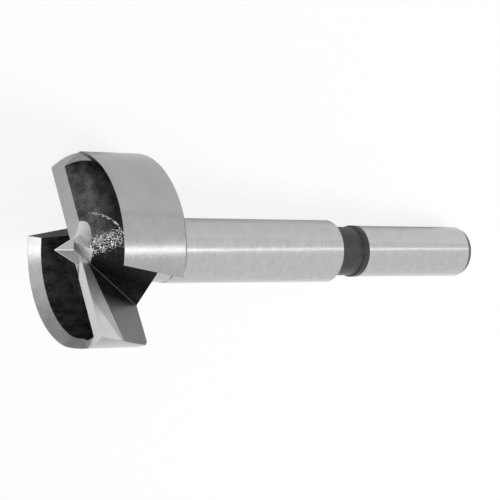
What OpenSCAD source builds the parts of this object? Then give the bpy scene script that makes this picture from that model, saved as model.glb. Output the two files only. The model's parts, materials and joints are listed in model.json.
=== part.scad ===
// Forstner bit with a plain round shank
// One turned and ground piece: a shank, a neck, a body and a cutting head.
// The head has two lips, two smooth rims, two pockets, two chip throats and a centre point.
// Sizes are in millimetres. The bit lies on the floor on the edge of a rake, a rim corner and the shank end.

/* [Bit] */
// length from the shank end to the tip of the centre point
overall_length = 93.5; // [88:0.5:110]
// diameter of the hole that the head cuts
head_diameter = 35; // [32:1:40]
// length of the head from its back to the top of the rims
head_height = 13; // [12.5:0.1:14]

/* [Shank and body] */
// diameter of the ground shank, held by the chuck
shank_diameter = 10; // [8:0.1:10.5]
// length of the ground shank
shank_length = 26.6; // [20:0.1:28]
// radial size of the shank's end chamfer
shank_chamfer = 0.35; // [0.2:0.05:0.8]
// length of the shank's end chamfer
shank_chamfer_length = 0.9; // [0.5:0.1:1.5]
// how far the unground ring stands proud of the shank
ring_rise = 0.06; // [0.04:0.01:0.2]
// length of the unground ring
ring_length = 1.45; // [1:0.05:2]
// how much thinner the neck is than the shank, on the diameter
neck_reduction = 0.5; // [0.3:0.05:1]
// length of the neck
neck_length = 5.65; // [3:0.05:8]
// diameter of the body
body_diameter = 12; // [11.4:0.1:13]
// how much thinner the relief behind the head is, on the diameter
relief_reduction = 0.4; // [0.2:0.05:0.6]
// length of the relief behind the head
relief_length = 5.2; // [3:0.1:8]

/* [Rims] */
// radial width of the bevel inside each rim
bevel_width = 1.4; // [1.2:0.05:1.8]
// depth of that bevel
bevel_depth = 2; // [1.5:0.1:2.5]
// flat left on top of each rim
rim_flat = 0.08; // [0.05:0.01:0.2]
// chamfer on the back edge of the head
back_chamfer = 0.7; // [0.4:0.05:1]
// angle from the lip to where the full rim starts
rim_start_angle = 39.5; // [37:0.5:42]
// direction that the step below the full rim faces, from the lip
step_turn = 133; // [130:0.5:136]
// lean of that step's face
step_lean = 35; // [33:0.5:37]

/* [Lips] */
// how far each cutting edge lies ahead of the centre
lip_ahead = 0.95; // [0.7:0.05:1.2]
// how far the cutting edges lie below the top of the rims
lip_drop = 0.38; // [0.2:0.02:0.6]
// width of the ground land behind each cutting edge
land_width = 3.4; // [3:0.1:3.8]
// clearance angle of that land
clearance_angle = 10.5; // [8:0.5:13]
// inward tilt of the low start of the rim behind the land
rim_tilt = 12; // [10:0.5:14]
// rake angle ground ahead of each cutting edge
rake_angle = 21.8; // [20:0.2:23]

/* [Pockets] */
// slope of the pocket floor behind the land
floor_slope = 35; // [32:1:38]
// depth of the flat part of the pocket floor
pocket_depth = 7.5; // [6.5:0.1:8.5]
// draft of the wall inside each rim
wall_draft = 10.5; // [8:0.5:12]

/* [Throats] */
// lean of the throat wall below the ground rake
throat_lean = 25.5; // [24.5:0.5:27]
// turn of that wall against the cutting edge
throat_skew = 1.25; // [0.75:0.25:1.75]
// how far that wall lies ahead of the middle of the cutting edge
throat_lead = 0.26; // [0.2:0.02:0.32]
// distance of the web wall from the axis at the top of the rims
web_offset = 1.4; // [1.2:0.05:1.6]
// lean of the web wall
web_lean = 25.8; // [24:0.2:28]
// turn of the web wall against the lip
web_turn = 11.2; // [9:0.2:13]
// distance from the axis to where the web's rolled edge would end in a corner
roll_offset = 2.15; // [2:0.05:2.4]
// angle between the pocket floor and the end of the rolled edge
roll_angle = 63.6; // [60:0.2:66]
// radius of the web's rolled edge
roll_radius = 5; // [4:0.1:5.5]
// angle from the lip to the end of the next rim, at the top
rim_end_angle = 53; // [50:0.5:56]
// direction of the rim's end face, from the lip
rim_end_turn = 34; // [30:1:38]
// lean of the rim's end face
rim_end_lean = 10; // [7:0.5:12]

/* [Centre point] */
// height of the tip above the rims
point_height = 4; // [3:0.1:5]
// angle between the axis and each ridge of the point
point_angle = 29.3; // [26:0.1:32]
// turn of the four ridges against the lips
point_turn = 61.6; // [50:0.2:70]
// radius of the hollow ground behind each lip, beside the point
hollow_radius = 6; // [5.6:0.1:6.4]
// depth of that hollow below the rims, at the axis
hollow_depth = 1.24; // [1.2:0.02:1.3]
// direction of that hollow, behind the lip
hollow_turn = 50; // [46:1:54]
// distance of that hollow from the axis
hollow_offset = 1.65; // [1.5:0.05:1.8]
// slope of that hollow
hollow_slope = 10.7; // [9:0.1:12]
// depth of the gash ahead of each lip below the rims, at the axis
gash_depth = 0.6; // [0.5:0.05:0.7]
// slope of that gash along the lip
gash_slope = 36.5; // [34:0.5:39]

/* [Hidden] */
$fn = 96;

eps = 0.01;
far = 60;
head_r = head_diameter / 2;
shank_r = shank_diameter / 2;
ring_r = shank_r + ring_rise;
neck_r = (shank_diameter - neck_reduction) / 2;
body_r = body_diameter / 2;
relief_r = (body_diameter - relief_reduction) / 2;
wall_r = head_r - rim_flat - bevel_width;

// heights along the axis, from the shank end
ring_top = shank_length + ring_length;
body_bottom = ring_top + neck_length;
rim_top = overall_length - point_height;
head_bottom = rim_top - head_height;
relief_bottom = head_bottom - relief_length;

// pocket profile behind the land
land_back = lip_ahead - land_width;
land_back_z = -lip_drop - land_width * tan(clearance_angle);
floor_end = land_back - (pocket_depth + land_back_z) / tan(floor_slope);

// rolled edge: the place where it would end in a sharp corner
roll_start = roll_offset + (-land_back_z) * tan(90 - roll_angle) * cos(floor_slope);
roll_tangent = roll_radius * tan(roll_angle / 2);
roll_bite = 0.25;

// resting place: the rake's edge on the outside of the head, the rim's lower corner and the shank's end edge
rake_rise = 1 / tan(rake_angle);
lip_corner_angle = asin(lip_ahead / head_r);
rim_corner_depth = head_height - back_chamfer;
rim_corner_side = head_r * sin(rim_end_angle - rim_end_turn) - rim_corner_depth * tan(rim_end_lean);
rim_corner_angle = rim_end_turn + asin(rim_corner_side / head_r);
rim_corner = [head_r * cos(rim_corner_angle), head_r * sin(rim_corner_angle), rim_top - rim_corner_depth];

function unit(v) = v / norm(v);
function rake_height(y) = rim_top - lip_drop - (lip_ahead - y) * rake_rise;
function rake_edge(angle) = [head_r * cos(angle), head_r * sin(angle), rake_height(head_r * sin(angle))];
function rake_touch(up) = rake_edge(atan2(-up.y - up.z * rake_rise, -up.x));
function shank_edge(side) = [shank_r * side.x, shank_r * side.y, shank_chamfer_length];
function shank_touch(up) = shank_edge(-unit([up.x, up.y]));
function plane_up(rake, shank) = unit(cross(rake - shank, rim_corner - shank));
function settle(up, turns) = turns == 0 ? up : settle(plane_up(rake_touch(up), shank_touch(up)), turns - 1);

first_up = plane_up(rake_edge(lip_corner_angle), [0, 0, shank_chamfer_length]);
rest_up = settle(first_up, 20);
rest_height = -(rest_up * rim_corner);
rest_tilt = acos(rest_up.z);
rest_hinge = cross(rest_up, [0, 0, 1]);
rest_heading = atan2(-rest_up.y, -rest_up.x);
axis_lift = asin(rest_up.z);
rest_reach = overall_length * cos(axis_lift);
rest_back = (shank_r - shank_chamfer) * sin(axis_lift);

// Turned blank: shank, ring, neck, body, relief and the plain head
module blank() {
    rotate_extrude()
        polygon([
            [0, 0],
            [shank_r - shank_chamfer, 0],
            [shank_r, shank_chamfer_length],
            [shank_r, shank_length],
            [ring_r, shank_length],
            [ring_r, ring_top - (ring_r - neck_r)],
            [neck_r, ring_top],
            [neck_r, body_bottom],
            [body_r, body_bottom],
            [body_r, relief_bottom - (body_r - relief_r)],
            [relief_r, relief_bottom],
            [relief_r, head_bottom],
            [head_r - back_chamfer, head_bottom],
            [head_r, head_bottom + back_chamfer],
            [head_r, rim_top],
            [0, rim_top]
        ]);
}

// Sector of the head between two angles, as a tall prism
module sector(from, to) {
    reach = 2 * head_r;
    translate([0, 0, -far / 2])
        linear_extrude(far)
            polygon([
                [0, 0],
                [reach * cos(from), reach * sin(from)],
                [reach * cos((from + to) / 2), reach * sin((from + to) / 2)],
                [reach * cos(to), reach * sin(to)]
            ]);
}

// Ground top behind a cutting edge: the land, the low start of its rim and the step up to the full rim
module land_cut() {
    reach = 2 * head_r;
    front = 4;
    back = land_back - 1;
    side = rim_start_angle + 3;
    tilt_start = land_back - 0.2;
    intersection() {
        translate([0, 0, -far / 2])
            linear_extrude(far)
                polygon([
                    [0, front],
                    [0, back],
                    [-back / tan(side), back],
                    [reach * cos(side), -reach * sin(side)],
                    [reach, front]
                ]);
        union() {
            translate([0, lip_ahead, -lip_drop])
                rotate([clearance_angle, 0, 0])
                    translate([-far, -far, 0])
                        cube([2 * far, 2 * far, far]);
            intersection() {
                translate([wall_r, tilt_start, -lip_drop - (lip_ahead - tilt_start) * tan(clearance_angle)])
                    rotate([clearance_angle, -rim_tilt, 0])
                        translate([-far, -far, 0])
                            cube([2 * far, 2 * far, far]);
                difference() {
                    translate([-far, tilt_start - 2 * far, -far])
                        cube([2 * far, 2 * far, 2 * far]);
                    translate([0, 0, -far - 1])
                        cylinder(h = 2 * far + 2, r = wall_r - 1);
                }
            }
        }
        translate([head_r * cos(rim_start_angle), -head_r * sin(rim_start_angle), 0])
            rotate([0, -step_lean, step_turn])
                translate([0, -far, -far])
                    cube([far, 2 * far, 2 * far]);
    }
}

// Bevel ground inside the full part of a rim
module bevel_cut() {
    slope = bevel_width / bevel_depth;
    rise = 2;
    intersection() {
        sector(3.5 - rim_start_angle, -150);
        translate([0, 0, -bevel_depth])
            difference() {
                cylinder(h = bevel_depth + rise, r1 = wall_r, r2 = wall_r + (bevel_depth + rise) * slope);
                translate([0, 0, -rise])
                    cylinder(h = bevel_depth + 3 * rise, r = wall_r - rise);
            }
    }
}

// Pocket behind a lip: sloping floor, flat bottom and a drafted wall inside the rim
module pocket_cut() {
    wall_depth = pocket_depth - bevel_depth + 1;
    intersection() {
        rotate([90, 0, 90])
            translate([0, 0, -far])
                linear_extrude(2 * far)
                    polygon([
                        [land_back, 4],
                        [land_back, land_back_z],
                        [floor_end, -pocket_depth],
                        [-far, -pocket_depth],
                        [-far, 4]
                    ]);
        union() {
            translate([0, 0, -bevel_depth - wall_depth])
                cylinder(h = wall_depth, r1 = wall_r - wall_depth * tan(wall_draft), r2 = wall_r);
            translate([0, 0, -bevel_depth - eps])
                cylinder(h = bevel_depth + 4, r = wall_r);
        }
    }
}

// Side view of the web's rolled edge, open side to the right
module roll_profile() {
    centre = (roll_radius - roll_bite) / cos(roll_angle / 2);
    lean = roll_angle / 2;
    rotate(90 - roll_angle)
        translate([0, -far])
            square([far, 2 * far]);
    difference() {
        polygon([
            [-roll_tangent, 0],
            [-roll_tangent, 2],
            [roll_tangent, 2],
            [roll_tangent * cos(roll_angle) + eps, -roll_tangent * sin(roll_angle)]
        ]);
        translate([-centre * sin(lean), -centre * cos(lean)])
            circle(roll_radius);
    }
}

// Chip throat ahead of a lip, open through the back of the head, with the gash that runs up to the point
module throat_cut() {
    intersection() {
        union() {
            translate([0, lip_ahead, -lip_drop])
                rotate([-rake_angle, 0, 0])
                    translate([-far, 0, -far])
                        cube([2 * far, far, 2 * far]);
            translate([head_r / 2, lip_ahead + throat_lead, -lip_drop])
                rotate([-throat_lean, 0, throat_skew])
                    translate([-far, 0, -far])
                        cube([2 * far, far, 2 * far]);
        }
        translate([head_r * cos(rim_end_angle), head_r * sin(rim_end_angle), 0])
            rotate([-rim_end_lean, 0, rim_end_turn])
                translate([-far, -far, -far])
                    cube([2 * far, far, 2 * far]);
        union() {
            translate([web_offset, 0, 0])
                rotate([0, -web_lean, web_turn])
                    translate([0, -far, -far])
                        cube([far, 2 * far, 2 * far]);
            translate([roll_start, -land_back, land_back_z])
                rotate([90 - floor_slope, 0, 0])
                    translate([0, 0, -far])
                        linear_extrude(2 * far)
                            roll_profile();
            translate([0, 0, -gash_depth])
                rotate([0, gash_slope, 0])
                    translate([-far, -far, 0])
                        cube([2 * far, 2 * far, far]);
        }
        translate([0, 0, -head_height - 5])
            cylinder(h = head_height + 10, r = head_r + 5);
    }
}

// Hollow ground behind a lip, beside the point
module hollow_cut() {
    length = 7;
    translate([0, 0, -hollow_depth])
        rotate([0, hollow_slope, -hollow_turn])
            translate([0, -hollow_offset, hollow_radius])
                rotate([0, 90, 0])
                    cylinder(h = length, r = hollow_radius);
}

// Four-sided centre point, with its foot below the hollows
module centre_point() {
    foot = hollow_depth + 0.45;
    height = point_height + foot;
    translate([0, 0, -foot])
        rotate([0, 0, point_turn])
            cylinder(h = height, r1 = height * tan(point_angle), r2 = 0, $fn = 4);
}

// The whole bit, upright on its shank end
module bit() {
    difference() {
        union() {
            difference() {
                blank();
                translate([0, 0, rim_top])
                    for (turn = [0, 180])
                        rotate([0, 0, turn]) {
                            land_cut();
                            bevel_cut();
                            pocket_cut();
                            hollow_cut();
                        }
            }
            translate([0, 0, rim_top])
                centre_point();
        }
        translate([0, 0, rim_top])
            for (turn = [0, 180])
                rotate([0, 0, turn])
                    throat_cut();
    }
}

// The bit laid on the floor, with its axis along X
module forstner_bit() {
    color("silver")
        translate([(rest_back - rest_reach) / 2, 0, rest_height])
            rotate([0, 0, -rest_heading])
                rotate(a = rest_tilt, v = rest_hinge)
                    bit();
}

forstner_bit();
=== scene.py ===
"""Looks of the forstner bit: finishes by face, studio floor, lamps and the photograph's camera."""
import json
from math import cos, hypot, pi, radians, sin, tan

import bpy
from mathutils import Matrix, Vector

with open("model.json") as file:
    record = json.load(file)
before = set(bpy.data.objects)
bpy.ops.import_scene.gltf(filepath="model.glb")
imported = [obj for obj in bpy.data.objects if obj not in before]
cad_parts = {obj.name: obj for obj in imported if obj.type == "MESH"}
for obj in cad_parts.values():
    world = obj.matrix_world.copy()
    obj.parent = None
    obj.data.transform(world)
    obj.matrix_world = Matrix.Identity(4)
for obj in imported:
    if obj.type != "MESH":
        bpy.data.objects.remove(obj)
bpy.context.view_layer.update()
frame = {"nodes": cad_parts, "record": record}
bit = frame["nodes"]["forstner_bit"]

MM = 0.001

# Heights along the bit in millimetres, from the shank end
SHANK_CHAMFER_LENGTH = 0.9
SHANK_LENGTH = 26.6
RING_TOP = 28.05
BODY_BOTTOM = 33.7
HEAD_BOTTOM = 76.5
RIM_TOP = 89.5

# Head in millimetres and degrees, with the names of the part's source
HEAD_RADIUS = 17.5
WALL_RADIUS = 16.02
BACK_CHAMFER = 0.7
RIM_START_ANGLE = 39.5
STEP_TURN = 133
STEP_LEAN = 35
LIP_AHEAD = 0.95
LIP_DROP = 0.38
LAND_BACK = -2.45
CLEARANCE_ANGLE = 10.5
RIM_TILT = 12
TILT_START = LAND_BACK - 0.2
RAKE_ANGLE = 21.8
FLOOR_SLOPE = 35
POCKET_DEPTH = 7.5
THROAT_LEAN = 25.5
THROAT_SKEW = 1.25
THROAT_LEAD = 0.26
WEB_OFFSET = 1.4
WEB_LEAN = 25.8
WEB_TURN = 11.2
RIM_END_ANGLE = 53
RIM_END_TURN = 34
RIM_END_LEAN = 10
POINT_TURN = 61.6
HOLLOW_RADIUS = 6.0
HOLLOW_DEPTH = 1.24
HOLLOW_TURN = 50
HOLLOW_OFFSET = 1.65
HOLLOW_SLOPE = 10.7
GASH_DEPTH = 0.6
GASH_SLOPE = 36.5

# Turn of the first lip from straight down, about the bit's axis
LIP_ROLL = radians(17.38)

# Camera of the photograph, in the row's frame
CAMERA_AT = Vector((170.08, -193.84, 236.15)) * MM
CAMERA_AZIMUTH = radians(40.42)
CAMERA_ELEVATION = radians(41.41)
CAMERA_ROLL = radians(157.03)
CAMERA_LENS = 129.24
SENSOR_WIDTH = 36
CLIP_START = 10 * MM


def bit_frame():
    """Matrix from the bit's own frame, with the origin at the shank end and Z towards the tip."""
    shank = frame["record"]["mounts"][0]
    out = Vector(shank["axis"]).normalized()
    half = shank["dims"]["length_mm"] * MM / 2
    end = Vector(shank["pos_m"]) + out * (half + SHANK_CHAMFER_LENGTH * MM)
    along = -out
    side = Vector((0, 1, 0))
    below = side.cross(along)
    lip = below * cos(LIP_ROLL) - side * sin(LIP_ROLL)
    ahead = along.cross(lip)
    turn = Matrix((lip, ahead, along)).transposed().to_4x4()
    return Matrix.Translation(end) @ turn


TO_BIT = bit_frame().inverted()


# Faces of the head, seen from one lip, with heights from the rims' top

def tilted(x_angle, y_angle, z_angle, axis):
    """Direction of an axis after turns in degrees about X, Y and Z."""
    turn = Matrix.Rotation(radians(x_angle), 3, "X")
    turn = Matrix.Rotation(radians(y_angle), 3, "Y") @ turn
    turn = Matrix.Rotation(radians(z_angle), 3, "Z") @ turn
    return turn @ Vector(axis)


def rim_point(angle):
    """Point on the outside of the rim, at an angle in degrees from the lip."""
    return Vector((HEAD_RADIUS * cos(radians(angle)), HEAD_RADIUS * sin(radians(angle)), 0))


def land_point(x, y):
    """Point on the land's plane."""
    return Vector((x, y, -LIP_DROP - (LIP_AHEAD - y) * tan(radians(CLEARANCE_ANGLE))))


LIP_POINT = Vector((0, LIP_AHEAD, -LIP_DROP))
THROAT_POINT = Vector((HEAD_RADIUS / 2, LIP_AHEAD + THROAT_LEAD, -LIP_DROP))
FLOOR_NORMAL = tilted(FLOOR_SLOPE, 0, 0, (0, 0, 1))
FLOOR_POINT = land_point(0, LAND_BACK)
WEB_NORMAL = tilted(0, -WEB_LEAN, WEB_TURN, (1, 0, 0))
WEB_POINT = Vector((WEB_OFFSET, 0, 0))
HALF_TURN = Matrix.Rotation(pi, 3, "Z")

# Plane faces, as finish, outward normal and a point
FACES = [
    ("land", tilted(CLEARANCE_ANGLE, 0, 0, (0, 0, 1)), LIP_POINT),
    ("bevel", tilted(CLEARANCE_ANGLE, -RIM_TILT, 0, (0, 0, 1)), land_point(WALL_RADIUS, TILT_START)),
    ("step", tilted(0, -STEP_LEAN, STEP_TURN, (1, 0, 0)), rim_point(-RIM_START_ANGLE)),
    ("rake", tilted(-RAKE_ANGLE, 0, 0, (0, 1, 0)), LIP_POINT),
    ("throat", tilted(-THROAT_LEAN, 0, THROAT_SKEW, (0, 1, 0)), THROAT_POINT),
    ("gash", tilted(0, GASH_SLOPE, 0, (0, 0, 1)), Vector((0, 0, -GASH_DEPTH))),
    ("pocket", FLOOR_NORMAL, FLOOR_POINT),
    ("pocket", Vector((0, 0, 1)), Vector((0, 0, -POCKET_DEPTH))),
    ("web", WEB_NORMAL, WEB_POINT),
    ("end", tilted(-RIM_END_LEAN, 0, RIM_END_TURN, (0, -1, 0)), rim_point(RIM_END_ANGLE)),
]
SAME_FACING = 0.9995
FACE_SLACK = 0.03

# Axis of the ground hollow beside the point, and how far the hollow reaches
HOLLOW_ALONG = tilted(0, HOLLOW_SLOPE, -HOLLOW_TURN, (1, 0, 0))
HOLLOW_AT = Vector((0, 0, -HOLLOW_DEPTH)) + tilted(
    0, HOLLOW_SLOPE, -HOLLOW_TURN, (0, -HOLLOW_OFFSET, HOLLOW_RADIUS))
HOLLOW_SLACK = 0.06
HOLLOW_BOTTOM = -2.6
HOLLOW_REACH = 7

# Radius inside which no rim lies, and foot of the point
RIM_INSIDE = 14
POINT_FOOT = -1.9

# Least upward facing of a bevel and of the point's facets
BEVEL_FACING = 0.45
POINT_FACING = 0.3

# Slack of heights and radii, facing of a flat back, and radius and facing of the head's outside
SLACK = 0.01
BACK_FACING = -0.99
OUTSIDE_RADIUS = HEAD_RADIUS - BACK_CHAMFER - 0.1
OUTSIDE_FACING = 0.6


def in_hollow(place):
    """Whether a place lies on the hollow behind a lip."""
    reach = place - HOLLOW_AT
    off_axis = (reach - HOLLOW_ALONG * reach.dot(HOLLOW_ALONG)).length
    on_round = abs(off_axis - HOLLOW_RADIUS) < HOLLOW_SLACK
    return on_round and place.z > HOLLOW_BOTTOM and hypot(place.x, place.y) < HOLLOW_REACH


def head_finish(centre, normal):
    """Finish of a face inside the head, from its centre below the rims' top and its normal."""
    for turn in (0, pi):
        back = Matrix.Rotation(-turn, 3, "Z")
        place, outward = back @ centre, back @ normal
        for finish, face_normal, point in FACES:
            on_plane = abs((place - point).dot(face_normal)) < FACE_SLACK
            if on_plane and outward.dot(face_normal) > SAME_FACING:
                inside = hypot(place.x, place.y) < WALL_RADIUS
                return "pocket" if finish == "bevel" and inside else finish
        if in_hollow(place):
            return "hollow"
    if hypot(centre.x, centre.y) > RIM_INSIDE:
        return "bevel" if normal.z > BEVEL_FACING else "pocket"
    if centre.z > POINT_FOOT and POINT_FACING < normal.z < BEVEL_FACING:
        return "point"
    return "roll"


def finish_of(centre, normal):
    """Finish of a face, from its centre and normal in the bit's frame."""
    radius = max(hypot(centre.x, centre.y), SLACK)
    outward = (normal.x * centre.x + normal.y * centre.y) / radius
    if centre.z < SHANK_CHAMFER_LENGTH and normal.z > BACK_FACING:
        return "chamfer"
    if centre.z < SHANK_LENGTH - SLACK:
        return "shaft"
    if centre.z < RING_TOP - SLACK:
        return "ring"
    if centre.z < BODY_BOTTOM - SLACK:
        return "neck"
    if centre.z < HEAD_BOTTOM - SLACK:
        return "shaft"
    if normal.z < BACK_FACING or (radius > OUTSIDE_RADIUS and outward > OUTSIDE_FACING):
        return "head"
    return head_finish(centre - Vector((0, 0, RIM_TOP)), normal)


# Strength of the bumps of grinding lines and of pits, and samples of a rounded edge
LINE_STRENGTH = 0.35
PIT_STRENGTH = 0.6
EDGE_SAMPLES = 6


# Node helpers

class Nodes:
    """Node tree of a material or the world. Lengths and places are in millimetres on the bit."""

    def __init__(self, tree):
        tree.nodes.clear()
        self.tree = tree

    def add(self, kind, inputs, operation=None):
        """New node, with each input linked to a socket or set to a value."""
        node = self.tree.nodes.new(kind)
        if operation:
            node.operation = operation
        for name, value in inputs.items():
            if isinstance(value, bpy.types.NodeSocket):
                self.tree.links.new(value, node.inputs[name])
            else:
                node.inputs[name].default_value = value
        return node

    def calculate(self, operation, first, second=None):
        """Result of a math operation on a socket, and on a second socket or number."""
        inputs = {0: first} if second is None else {0: first, 1: second}
        return self.add("ShaderNodeMath", inputs, operation).outputs["Value"]

    def product(self, first, *others):
        """Product of several sockets or numbers, the first one a socket."""
        for other in others:
            first = self.calculate("MULTIPLY", first, other)
        return first

    def spread(self, factor, low, high, start=0.3, end=0.7):
        """A factor's range between start and end, spread from low to high."""
        node = self.add("ShaderNodeMapRange", {
            "Value": factor, "From Min": start, "From Max": end, "To Min": low, "To Max": high})
        return node.outputs["Result"]

    def ramp(self, factor, stops):
        """Grey ramp through (position, grey) stops."""
        node = self.add("ShaderNodeValToRGB", {"Fac": factor})
        elements = node.color_ramp.elements
        while len(elements) < len(stops):
            elements.new(0.5)
        for element, (position, grey) in zip(elements, stops):
            element.position = position
            element.color = (grey, grey, grey, 1)
        return node.outputs["Color"]

    def bit_place(self):
        """Position in the bit's own frame."""
        node = self.add("ShaderNodeMapping", {
            "Vector": self.add("ShaderNodeTexCoord", {}).outputs["Object"],
            "Scale": (1 / MM, 1 / MM, 1 / MM),
            "Rotation": TO_BIT.to_euler("XYZ"),
            "Location": TO_BIT.translation / MM})
        return node.outputs["Vector"]

    def half_place(self, place, axis, side):
        """Position seen from one lip: turned half a turn unless it is on the given side of an axis."""
        parts = self.add("ShaderNodeSeparateXYZ", {"Vector": place}).outputs
        half = self.product(self.calculate("SIGN", parts[axis]), side)
        joined = self.add("ShaderNodeCombineXYZ", {
            "X": self.product(parts["X"], half),
            "Y": self.product(parts["Y"], half),
            "Z": self.calculate("SUBTRACT", parts["Z"], RIM_TOP)})
        return joined.outputs["Vector"]

    def off_plane(self, place, normal, point=(0, 0, 0)):
        """Distance from a plane, positive on the normal's side."""
        along = self.add("ShaderNodeVectorMath", {0: place, 1: normal}, "DOT_PRODUCT").outputs["Value"]
        return self.calculate("SUBTRACT", along, Vector(normal).dot(Vector(point)))

    def off_arc(self, place, centre=(0, 0), radius=0):
        """Distance either way from an upright arc, or from an upright axis."""
        flat = self.add("ShaderNodeVectorMath", {0: place, 1: (1, 1, 0)}, "MULTIPLY").outputs["Vector"]
        reach = self.add("ShaderNodeVectorMath", {0: flat, 1: (*centre, 0)}, "DISTANCE").outputs["Value"]
        return self.calculate("ABSOLUTE", self.calculate("SUBTRACT", reach, radius))

    def noise(self, place, stretch, detail=4.0, rough=0.6, distortion=0.0):
        """Noise whose features are 1 / stretch wide along each axis."""
        scaled = self.add("ShaderNodeVectorMath", {0: place, 1: stretch}, "MULTIPLY").outputs["Vector"]
        node = self.add("ShaderNodeTexNoise", {
            "Vector": scaled, "Scale": 1, "Detail": detail, "Roughness": rough, "Distortion": distortion})
        return node.outputs["Fac"]

    def bump(self, height, strength, depth, normal=None):
        """Normal of a bump of a given depth, on top of another normal."""
        inputs = {"Strength": strength, "Distance": depth * MM, "Height": height}
        if normal:
            inputs["Normal"] = normal
        return self.add("ShaderNodeBump", inputs).outputs["Normal"]

    def ground_normal(self, grain, depth, edge):
        """Normal of grinding lines, with sharp edges rounded off over a width."""
        rounded = None
        if edge:
            bevel = self.add("ShaderNodeBevel", {"Radius": edge * MM})
            bevel.samples = EDGE_SAMPLES
            rounded = bevel.outputs["Normal"]
        return self.bump(grain, LINE_STRENGTH, depth, rounded)

    def steel(self, base, roughness, normal=None):
        """Bare metal."""
        inputs = {"Metallic": 1, "Base Color": base, "Roughness": roughness}
        if normal:
            inputs["Normal"] = normal
        return self.add("ShaderNodeBsdfPrincipled", inputs).outputs["BSDF"]

    def diffuse(self, grey):
        """Matt grey."""
        return self.add("ShaderNodeBsdfDiffuse", {"Color": (grey, grey, grey, 1)}).outputs["BSDF"]

    def mix(self, factor, first, second):
        """Mix of two shaders, the second one where the factor is 1."""
        return self.add("ShaderNodeMixShader", {"Fac": factor, 1: first, 2: second}).outputs["Shader"]

    def seen_by(self, *rays):
        """1 for a ray of any of the kinds."""
        path = self.add("ShaderNodeLightPath", {}).outputs
        found = path[rays[0]]
        for ray in rays[1:]:
            found = self.calculate("MAXIMUM", found, path[ray])
        return found


def new_material(name):
    """Empty node material, with its nodes."""
    material = bpy.data.materials.new(name)
    material.use_nodes = True
    return material, Nodes(material.node_tree)


def finished(material, nodes, shader):
    """Material with a shader on its surface."""
    nodes.add("ShaderNodeOutputMaterial", {"Surface": shader})
    return material


# Finishes

# Sums of two noises over which a tone spreads, on ground steel and on black surfaces
STEEL_RANGE = (0.75, 1.25)
BLACK_RANGE = (0.84, 1.2)

# Fineness of the pits in black surfaces
PIT_STRETCH = (4.2, 4.2, 4.2)


def ground_steel(name, greys, roughness, lines, line_depth, edge=0.0, blotch=0.25):
    """Ground steel with fine grinding lines, faint blotches and worn edges."""
    material, nodes = new_material(name)
    place = nodes.bit_place()
    grain = nodes.noise(place, lines)
    cloud = nodes.noise(place, (blotch, blotch, blotch), detail=3)
    base = nodes.spread(nodes.calculate("ADD", cloud, grain), *greys, *STEEL_RANGE)
    normal = nodes.ground_normal(grain, line_depth, edge)
    return finished(material, nodes, nodes.steel(base, nodes.spread(grain, *roughness), normal))


def oxide(nodes, place, greys, roughness, blotch, depth, gloss, painted_shade=None):
    """Shader of an unground black surface, mottled and uneven, with painted shade that darkens its colour
    and gloss where the shade factor is low.
    """
    cloud = nodes.noise(place, (blotch, blotch, blotch))
    pits = nodes.noise(place, PIT_STRETCH, rough=0.75)
    base = nodes.spread(nodes.calculate("ADD", cloud, pits), *greys, *BLACK_RANGE)
    # Painted shade: colour and gloss are darkened where the shade factor is low
    if painted_shade:
        base = nodes.product(base, painted_shade)
        gloss = nodes.product(painted_shade, gloss)
    shader = nodes.add("ShaderNodeBsdfPrincipled", {
        "Base Color": base,
        "Specular IOR Level": gloss,
        "Roughness": nodes.spread(pits, *roughness),
        "Normal": nodes.bump(pits, PIT_STRENGTH, depth)})
    return shader.outputs["BSDF"]


def black_oxide(name, greys, roughness, blotch, depth, gloss):
    """Unground black surface."""
    material, nodes = new_material(name)
    shader = oxide(nodes, nodes.bit_place(), greys, roughness, blotch, depth, gloss)
    return finished(material, nodes, shader)


# Fineness of the ripple, and heights of it at which black ends and a crest's painted glint is full
RIPPLE_STRETCH = (4.6, 3.0, 3.7)
CREST_HEIGHTS = (0.545, 0.57)

# Greys of the crests' painted glints, heights of the ripple over which they spread, and roughness
CREST_GLINT_GREYS = (0.45, 1)
CREST_GREY_HEIGHTS = (0.5, 0.6)
CREST_ROUGHNESS = 0.35

# Change of that height away from the crests' places and on the arc
LOWERED = -0.35
RAISED = 0.03

# Distances from the web, the pocket's floor and the lips' line at which the crests start and are full
CRESTS_FROM_WEB = (-3.6, -1.6)
CRESTS_FROM_FLOOR = (-3.4, -0.8)
CRESTS_FROM_LIPS = (-10.5, -8.0)

# Arc of the rippled line on a pocket's floor, seen along the bit's axis, and where it starts and is full
ARC_CENTRE = (-3.02, 1.09)
ARC_RADIUS = 9.85
ARC_WIDTH = (0.1, 0.4)
ARC_FROM_WEB = (-6.8, -5.8)
ARC_FROM_FLOOR = (-0.3, -0.1)


def crest_height(nodes, place, ripple):
    """Height of a ripple, raised on the arc and lowered away from the arc and the rolled edge, so that
    painted glints show only there.
    """
    spot = nodes.half_place(place, "Y", -1)
    from_web = nodes.off_plane(spot, HALF_TURN @ WEB_NORMAL, HALF_TURN @ WEB_POINT)
    from_floor = nodes.off_plane(spot, FLOOR_NORMAL, FLOOR_POINT)
    from_lips = nodes.off_plane(spot, (0, 1, 0))
    edge = nodes.product(
        nodes.spread(from_web, 0, 1, *CRESTS_FROM_WEB),
        nodes.spread(from_floor, 0, 1, *CRESTS_FROM_FLOOR),
        nodes.spread(from_lips, 0, 1, *CRESTS_FROM_LIPS))
    arc = nodes.product(
        nodes.spread(nodes.off_arc(spot, ARC_CENTRE, ARC_RADIUS), 1, 0, *ARC_WIDTH),
        nodes.spread(from_web, 0, 1, *ARC_FROM_WEB),
        nodes.spread(from_floor, 0, 1, *ARC_FROM_FLOOR))
    lowered = nodes.spread(nodes.calculate("MAXIMUM", edge, arc), LOWERED, 0, 0, 1)
    raised = nodes.spread(arc, 0, RAISED, 0, 1)
    return nodes.calculate("ADD", nodes.calculate("ADD", ripple, lowered), raised)
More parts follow.
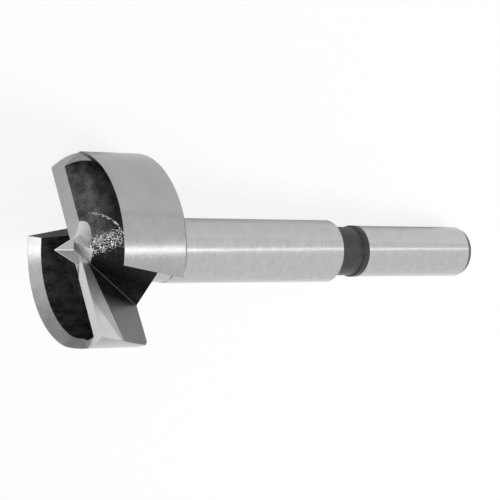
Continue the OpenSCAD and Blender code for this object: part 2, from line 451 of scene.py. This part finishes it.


# Painted shade on black surfaces, as stops of distance from the lips' line over the head's radius, and
# share of the tone left
POCKET_PAINTED_SHADE = [(0.2, 1.0), (0.3, 0.95), (0.38, 0.55), (0.48, 0.2), (0.69, 0.55), (0.83, 0.8)]
WEB_PAINTED_SHADE = [(0.0, 0.33), (0.126, 0.65), (0.31, 1.0)]

# Radii between which the painted shade on black surfaces deepens further, and the share left
RIM_PAINTED_SHADE = (12, 14.5)
RIM_SHADE_SHARE = 0.55


def painted_depth_shade(nodes, place, stops):
    """Painted shade of a black surface, by stops along the distance from the lips' line and darker still
    near the rim.
    """
    from_lips = nodes.calculate("ABSOLUTE", nodes.off_plane(place, (0, 1, 0)))
    tone = nodes.ramp(nodes.spread(from_lips, 0, 1, 0, HEAD_RADIUS), stops)
    return nodes.product(tone, nodes.spread(nodes.off_arc(place), 1, RIM_SHADE_SHARE, *RIM_PAINTED_SHADE))


def glittering_oxide(name, greys, roughness, blotch, depth, gloss, stops=None):
    """Black surface with small bright crests, painted as glints along the rolled edge and on an arc
    beside it.
    """
    material, nodes = new_material(name)
    place = nodes.bit_place()
    # Painted shade by distance from the lips' line, where stops are given
    painted_shade = painted_depth_shade(nodes, place, stops) if stops else None
    black = oxide(nodes, place, greys, roughness, blotch, depth, gloss, painted_shade)
    ripple = nodes.noise(place, RIPPLE_STRETCH, detail=2, rough=0.55, distortion=1.1)
    # Painted glints: bright bare steel on the crests of the ripple
    bright = nodes.steel(nodes.spread(ripple, *CREST_GLINT_GREYS, *CREST_GREY_HEIGHTS), CREST_ROUGHNESS)
    crests = nodes.spread(crest_height(nodes, place, ripple), 0, 1, *CREST_HEIGHTS)
    return finished(material, nodes, nodes.mix(crests, black, bright))


# Distances at which the painted highlight on a ridge of the point is full and gone, and the tone that it
# adds
RIDGE_HIGHLIGHT_WIDTH = (0.05, 0.12)
RIDGE_HIGHLIGHT_TONE = 0.6


def point_steel(name, greys, roughness, lines, line_depth, edge):
    """Centre point, with a painted highlight along each of its four ridge lines."""
    material, nodes = new_material(name)
    place = nodes.bit_place()
    grain = nodes.noise(place, lines)
    ridge_highlights = []
    for angle in (POINT_TURN, POINT_TURN + 90):
        off_ridge = nodes.calculate("ABSOLUTE", nodes.off_plane(place, tilted(0, 0, angle, (0, 1, 0))))
        ridge_highlights.append(nodes.spread(off_ridge, RIDGE_HIGHLIGHT_TONE, 0, *RIDGE_HIGHLIGHT_WIDTH))
    tone = nodes.calculate("ADD", nodes.spread(grain, *greys), nodes.calculate("MAXIMUM", *ridge_highlights))
    base = nodes.calculate("MINIMUM", tone, 1)
    normal = nodes.ground_normal(grain, line_depth, edge)
    return finished(material, nodes, nodes.steel(base, nodes.spread(grain, *roughness), normal))


# Painted reflection on the rake: tones as stops of distance along the lip over the head's radius, and
# grey
RAKE_REFLECTION_TONES = [(0.0, 0.14), (0.1, 0.3), (0.22, 1.0), (0.6, 0.95), (0.9, 0.68)]

# Slanting line on the rake, with a darker band of painted reflection below it
STRIP_SLOPE = 34.6
STRIP_NORMAL = tilted(0, STRIP_SLOPE, 0, (0, 0, 1))
STRIP_POINT = (10.8, 0, -1.0)
STRIP_EDGE = (-0.1, 0.05)

# Distances along the lip at which the strip starts and is full, and its share of the tone
STRIP_START = (9, 12)
REFLECTION_STRIP_SHARE = 0.66


def rake_steel(name, roughness, lines, line_depth, edge):
    """Rake face of a lip, with painted reflection: darker towards the middle and on a band beside a
    bright triangle.
    """
    material, nodes = new_material(name)
    place = nodes.bit_place()
    grain = nodes.noise(place, lines)
    spot = nodes.half_place(place, "X", 1)
    along_lip = nodes.off_plane(spot, (1, 0, 0))
    below = nodes.spread(nodes.off_plane(spot, STRIP_NORMAL, STRIP_POINT), 1, 0, *STRIP_EDGE)
    strip = nodes.product(below, nodes.spread(along_lip, 0, 1, *STRIP_START))
    tone = nodes.ramp(nodes.spread(along_lip, 0, 1, 0, HEAD_RADIUS), RAKE_REFLECTION_TONES)
    base = nodes.product(tone, nodes.spread(strip, 1, REFLECTION_STRIP_SHARE, 0, 1))
    normal = nodes.ground_normal(grain, line_depth, edge)
    return finished(material, nodes, nodes.steel(base, nodes.spread(grain, *roughness), normal))


# Distances along the lip at which the throat's grey part starts and is full
THROAT_GREY_PART = (8.7, 9.7)

# Fineness of that part's ragged edge
RAGGED_STRETCH = (1.2, 1.2, 1.2)

# Distances at which the painted highlight in the throat's inner corner is full and gone, and its grey
CORNER_HIGHLIGHT_WIDTH = (0.12, 0.32)
CORNER_HIGHLIGHT_GREY = 0.12


def throat_steel(name, greys, roughness, lines):
    """Throat wall, grey near the rim, black near the middle, with a painted highlight along the corner at
    the web.
    """
    material, nodes = new_material(name)
    place = nodes.bit_place()
    black = oxide(
        nodes, place, greys=(0.001, 0.012), roughness=(0.45, 0.6), blotch=0.9, depth=0.04, gloss=0.12)
    grain = nodes.noise(place, lines)
    grey = nodes.steel(nodes.spread(grain, *greys), nodes.spread(grain, *roughness))
    spot = nodes.half_place(place, "X", 1)
    ragged = nodes.noise(place, RAGGED_STRETCH, detail=5, rough=0.7)
    along_lip = nodes.calculate("ADD", nodes.off_plane(spot, (1, 0, 0)), ragged)
    wall = nodes.mix(nodes.spread(along_lip, 0, 1, *THROAT_GREY_PART), black, grey)
    # Painted highlight: a paler matt line along the corner where the throat meets the web
    corner = nodes.spread(nodes.off_plane(spot, WEB_NORMAL, WEB_POINT), 1, 0, *CORNER_HIGHLIGHT_WIDTH)
    return finished(material, nodes, nodes.mix(corner, wall, nodes.diffuse(CORNER_HIGHLIGHT_GREY)))


MATERIALS = {
    "shaft": ground_steel(
        "ground_shaft", greys=(0.455, 0.51), roughness=(0.16, 0.26),
        lines=(0.25, 0.25, 5.0), line_depth=0.003, edge=0.1, blotch=0.6),
    "chamfer": ground_steel(
        "ground_chamfer", greys=(0.07, 0.1), roughness=(0.25, 0.35),
        lines=(0.3, 0.3, 5.0), line_depth=0.004),
    "head": ground_steel(
        "ground_head", greys=(0.37, 0.42), roughness=(0.17, 0.25),
        lines=(1.2, 1.2, 5.0), line_depth=0.003, edge=0.12, blotch=0.2),
    # Land: a lighter grey than the shaft's same steel, as painted light
    "land": ground_steel(
        "ground_land", greys=(0.6, 0.68), roughness=(0.18, 0.26),
        lines=(5.0, 0.3, 0.3), line_depth=0.004, edge=0.08),
    "rake": rake_steel(
        "ground_rake", roughness=(0.38, 0.5),
        lines=(0.3, 4.0, 4.0), line_depth=0.004, edge=0.08),
    # Bevel: a darker grey than the shaft's same steel, as painted shade
    "bevel": ground_steel(
        "ground_bevel", greys=(0.38, 0.46), roughness=(0.2, 0.3),
        lines=(1.5, 1.5, 1.5), line_depth=0.004, edge=0.08),
    # Step: a darker grey than the bevel's, as painted shade
    "step": ground_steel(
        "ground_step", greys=(0.30, 0.38), roughness=(0.25, 0.35),
        lines=(2.0, 2.0, 2.0), line_depth=0.006, edge=0.08),
    "point": point_steel(
        "ground_point", greys=(0.5, 0.55), roughness=(0.2, 0.3),
        lines=(6.0, 6.0, 1.0), line_depth=0.002, edge=0.1),
    "hollow": ground_steel(
        "ground_hollow", greys=(0.52, 0.64), roughness=(0.22, 0.34),
        lines=(2.0, 2.0, 2.0), line_depth=0.01, edge=0.12),
    # Gash: a much lighter grey than the shaft's same steel, as painted light
    "gash": ground_steel(
        "ground_gash", greys=(0.8, 0.95), roughness=(0.5, 0.62),
        lines=(2.0, 2.0, 2.0), line_depth=0.01, edge=0.12),
    "pocket": glittering_oxide(
        "black_pocket", greys=(0.004, 0.15), roughness=(0.4, 0.6),
        blotch=0.5, depth=0.06, gloss=0.6, stops=POCKET_PAINTED_SHADE),
    "web": glittering_oxide(
        "black_web", greys=(0.002, 0.024), roughness=(0.45, 0.65),
        blotch=1.2, depth=0.04, gloss=0.28, stops=WEB_PAINTED_SHADE),
    "roll": glittering_oxide(
        "black_roll", greys=(0.002, 0.02), roughness=(0.3, 0.5),
        blotch=0.9, depth=0.06, gloss=0.2),
    "throat": throat_steel(
        "grey_throat", greys=(0.2, 0.25), roughness=(0.3, 0.4), lines=(0.4, 0.4, 3.0)),
    "end": ground_steel(
        "grey_end", greys=(0.12, 0.16), roughness=(0.3, 0.4),
        lines=(0.3, 0.3, 3.0), line_depth=0.004),
    "neck": black_oxide(
        "black_neck", greys=(0.02, 0.04), roughness=(0.3, 0.45),
        blotch=0.6, depth=0.02, gloss=0.4),
    "ring": black_oxide(
        "black_ring", greys=(0.012, 0.03), roughness=(0.3, 0.45),
        blotch=0.6, depth=0.02, gloss=0.4),
}


def paint():
    """Give each face of the bit its finish."""
    names = list(MATERIALS)
    bit.data.materials.clear()
    for name in names:
        bit.data.materials.append(MATERIALS[name])
    turn = TO_BIT.to_3x3()
    for face in bit.data.polygons:
        finish = finish_of((TO_BIT @ face.center) / MM, turn @ face.normal)
        face.material_index = names.index(finish)


paint()


# Studio: floor, card, world, camera and lamps, in metres

STAGE_CENTRE = Vector((0, 0, 0.015))
FLOOR_SIZE = 6.0
FLOOR_GREY = 0.9

# Shares of plain white that the camera and reflections see on the floor; the rest is its paper and shadow
CAMERA_SHARE = 0.85
MIRROR_SHARE = 0.1

# Strength of the world's light, and of the white that the camera and reflections see
WORLD_FILL = 0.6
WORLD_SEEN = 1


def facing(direction, upright=(0, 0, 1)):
    """Turn whose third axis points in a direction, with its first axis square to upright."""
    out = Vector(direction).normalized()
    side = Vector(upright).cross(out).normalized()
    return Matrix((side, out.cross(side), out)).transposed()


def make_sheet(name, turn, middle, size, material):
    """Square sheet across the third axis of a turn."""
    side, rise = turn.col[0] * size / 2, turn.col[1] * size / 2
    corners = [middle - side - rise, middle + side - rise, middle + side + rise, middle - side + rise]
    mesh = bpy.data.meshes.new(name)
    mesh.from_pydata(corners, [], [(0, 1, 2, 3)])
    mesh.materials.append(material)
    sheet = bpy.data.objects.new(name, mesh)
    bpy.context.scene.collection.objects.link(sheet)
    return sheet


def make_floor():
    """White paper floor, which keeps a pale shadow."""
    material, nodes = new_material("floor")
    white = nodes.add("ShaderNodeEmission", {"Strength": 1}).outputs["Emission"]
    seen = nodes.product(nodes.seen_by("Is Camera Ray"), CAMERA_SHARE)
    mirrored = nodes.product(nodes.seen_by("Is Glossy Ray", "Is Transmission Ray"), MIRROR_SHARE)
    share = nodes.calculate("MAXIMUM", seen, mirrored)
    finished(material, nodes, nodes.mix(share, nodes.diffuse(FLOOR_GREY), white))
    floor = make_sheet("floor", Matrix.Identity(3), Vector((0, 0, 0)), FLOOR_SIZE, material)


def make_card(name, toward, distance, size, grey):
    """Grey card in a direction from the bit, facing it, out of the camera's sight."""
    material, nodes = new_material(name)
    finished(material, nodes, nodes.diffuse(grey))
    turn = facing(toward)
    card = make_sheet(name, turn, STAGE_CENTRE + turn.col[2] * distance, size, material)


def make_world():
    """White surroundings, with less light on the bit than the camera and reflections see."""
    world = bpy.data.worlds.new("studio")
    bpy.context.scene.world = world
    world.use_nodes = True
    nodes = Nodes(world.node_tree)
    white = (1, 1, 1, 1)
    fill, seen = (
        nodes.add("ShaderNodeBackground", {"Color": white, "Strength": strength}).outputs["Background"]
        for strength in (WORLD_FILL, WORLD_SEEN))
    rays = nodes.seen_by("Is Camera Ray", "Is Glossy Ray", "Is Transmission Ray")
    nodes.add("ShaderNodeOutputWorld", {"Surface": nodes.mix(rays, fill, seen)})


def camera_turn():
    """Camera axes: right, up and back."""
    back = Vector((
        sin(CAMERA_AZIMUTH) * cos(CAMERA_ELEVATION),
        -cos(CAMERA_AZIMUTH) * cos(CAMERA_ELEVATION),
        sin(CAMERA_ELEVATION),
    ))
    return facing(back) @ Matrix.Rotation(CAMERA_ROLL, 3, "Z")


def make_camera():
    """Camera where the photograph's stood."""
    camera = bpy.data.objects.new("camera", bpy.data.cameras.new("camera"))
    bpy.context.scene.collection.objects.link(camera)
    camera.matrix_world = Matrix.Translation(CAMERA_AT) @ camera_turn().to_4x4()
    camera.data.lens = CAMERA_LENS
    camera.data.sensor_width = SENSOR_WIDTH
    camera.data.clip_start = CLIP_START
    bpy.context.scene.camera = camera


def make_lamp(name, toward, distance, size, radiance, upright=(0, 0, 1), lean=0, slide=0):
    """Area lamp in a direction from the bit, leaned by degrees and slid along its width."""
    turn = facing(toward, upright) @ Matrix.Rotation(radians(lean), 3, "Z")
    width, height = size
    data = bpy.data.lights.new(name, "AREA")
    data.shape = "RECTANGLE"
    data.size = width
    data.size_y = height
    data.energy = radiance * pi * width * height
    lamp = bpy.data.objects.new(name, data)
    bpy.context.scene.collection.objects.link(lamp)
    middle = STAGE_CENTRE + turn.col[2] * distance + turn.col[0] * slide
    lamp.matrix_world = Matrix.Translation(middle) @ turn.to_4x4()
    return lamp


make_floor()
make_card("flag", toward=(-0.03, 0.63, 0.78), distance=0.4, size=0.26, grey=0.45)
make_world()
make_camera()

# The key lights the floor from behind and shows in no reflection
key = make_lamp("key", toward=(-0.89, 0.02, 0.454), distance=0.6, size=(0.26, 0.26), radiance=16.5)
key.visible_glossy = False

# The strips make the bright lines along the head, and along the body and shank
STRIPS = {
    "toward": (-0.646, -0.628, 0.433),
    "distance": 0.5,
    "upright": camera_turn().col[1].copy(),
    "lean": 27,
}
make_lamp("strip_head", size=(0.12, 0.028), radiance=5.2, slide=-0.11, **STRIPS)
make_lamp("strip_body", size=(0.16, 0.024), radiance=2.0, slide=0.04, **STRIPS)
make_lamp("front", toward=(0.595, -0.5, 0.629), distance=0.55, size=(0.17, 0.17), radiance=2.3)
bpy.context.scene.view_settings.view_transform = "Standard"
